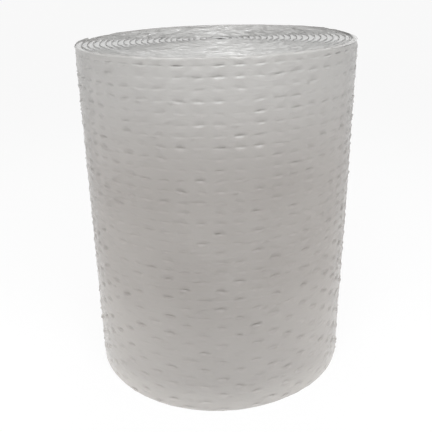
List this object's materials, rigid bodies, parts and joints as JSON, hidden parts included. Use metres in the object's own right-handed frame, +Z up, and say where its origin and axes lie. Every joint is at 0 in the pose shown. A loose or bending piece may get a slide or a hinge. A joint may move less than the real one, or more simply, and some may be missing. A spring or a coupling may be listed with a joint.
{
  "type": "bubble film roll",
  "caption": "Roll of clear air bubble film for packing, standing on its end, its film edges wound in a spiral on both end faces and its cut tail edge at the back.",
  "frame": {"origin": "centre of the roll's box at the face that it stands on", "axes": "+Z up along the roll's axis, -Y towards the viewer, +X to the viewer's right; the tail edge is at the left and a little behind"},
  "size_m": [0.3992, 0.3942, 0.5],
  "materials": {
    "bubble_film": "clear polyethylene film in many turns, milky grey-white with a soft gloss"
  },
  "bodies": {
    "root": {"bubble_film_roll": "bubble_film"}
  },
  "joints": []
}
